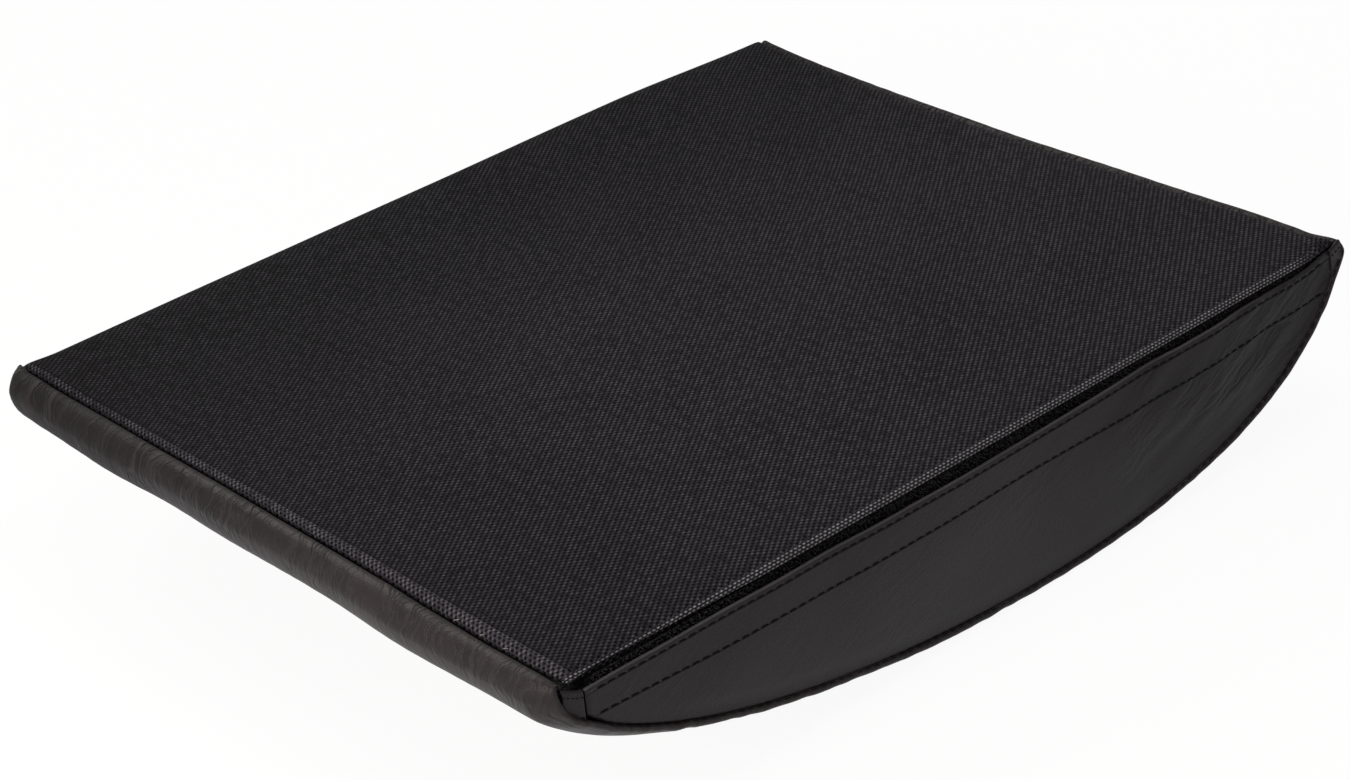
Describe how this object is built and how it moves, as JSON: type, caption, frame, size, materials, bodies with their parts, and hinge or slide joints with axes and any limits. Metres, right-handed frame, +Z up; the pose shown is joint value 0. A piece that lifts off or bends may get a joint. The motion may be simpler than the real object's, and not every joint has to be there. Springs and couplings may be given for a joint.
{
  "type": "ab mat",
  "caption": "Domed foam ab mat in a sewn black leatherette cover with a woven base and a hook-and-loop side closure, lying on its dome.",
  "frame": {"origin": "under the middle of the mat, on the surface that the dome rests on", "axes": "+Z up, out of the flat woven base; +Y along the mat towards its steeper far end; +X across it towards the side with the hook-and-loop closure"},
  "size_m": [0.3088, 0.3881, 0.0709],
  "materials": {
    "leatherette": "satin",
    "woven_nylon": "matte",
    "foam": "matte",
    "hook_tape": "matte",
    "loop_tape": "matte",
    "thread": "satin"
  },
  "bodies": {
    "cover": {"foam_core": "foam", "dome_panel": "leatherette", "left_gusset": "leatherette", "right_gusset": "leatherette", "near_corner_tab": "leatherette", "far_corner_tab": "leatherette", "base_panel": "woven_nylon", "near_tab_thread": "thread", "far_tab_thread": "thread", "right_arc_thread": "thread", "left_arc_thread": "thread", "near_base_thread": "thread", "far_base_thread": "thread", "left_base_thread": "thread"},
    "closure": {"closure_band": "leatherette", "hook_tape": "hook_tape", "band_hem_thread": "thread", "hook_tape_thread": "thread"},
    "flap": {"base_flap": "woven_nylon", "loop_tape": "loop_tape", "loop_tape_thread": "thread"}
  },
  "joints": [
    {"name": "closure_fold", "type": "hinge", "parent": "cover", "child": "closure", "pos_m": [0.1534, 0.0022, 0.0517], "axis": [0, 1, 0], "range_deg": [0, 120]},
    {"name": "flap_fold", "type": "hinge", "parent": "cover", "child": "flap", "pos_m": [0.14895, 0.0022, 0.0697], "axis": [0, -1, 0], "range_deg": [0, 14.4]}
  ],
  "couplings": [
    {"joint": "flap_fold", "follows": "closure_fold", "ratio": 0.12}
  ]
}
